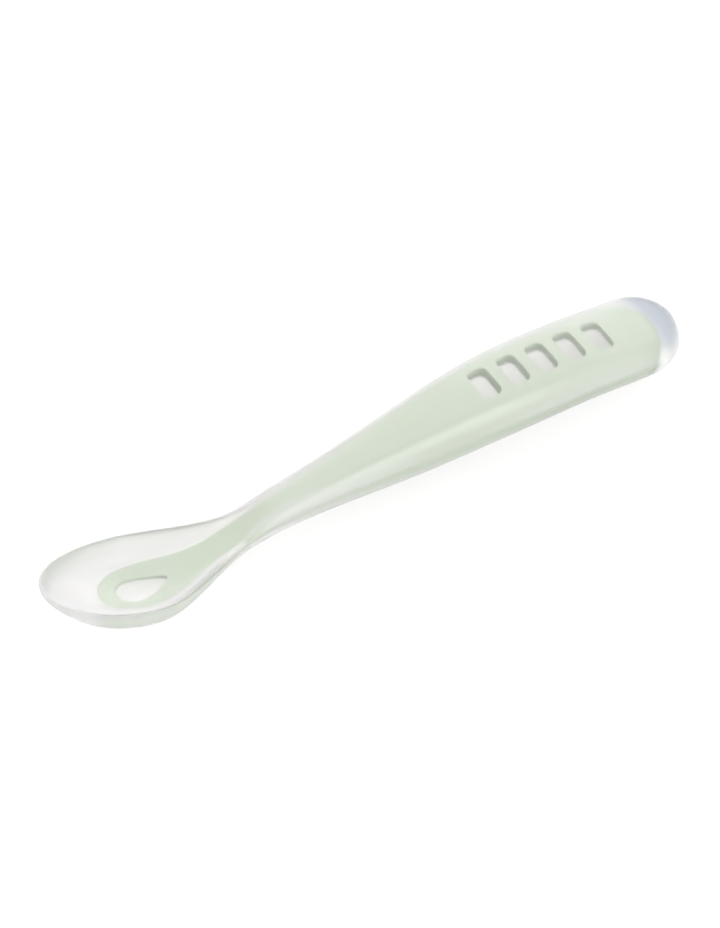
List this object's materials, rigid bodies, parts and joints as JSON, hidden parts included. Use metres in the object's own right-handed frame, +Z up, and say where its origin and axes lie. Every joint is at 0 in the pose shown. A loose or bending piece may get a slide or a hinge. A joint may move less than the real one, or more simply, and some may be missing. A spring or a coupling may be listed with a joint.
{
  "type": "baby spoon",
  "caption": "Soft feeding spoon: clear silicone bowl, neck and thick handle moulded over a stiff pale green core with a row of windows.",
  "frame": {"origin": "on the table plane under the middle of the spoon's length, on its middle line", "axes": "+X from the tip of the bowl to the end of the handle, +Y across the spoon, +Z up out of the open bowl"},
  "size_m": [0.17, 0.024, 0.0189],
  "materials": {
    "core_plastic": "satin",
    "clear_silicone": "satin"
  },
  "bodies": {
    "root": {"rigid_core": "core_plastic", "silicone_overmould": "clear_silicone"}
  },
  "joints": []
}
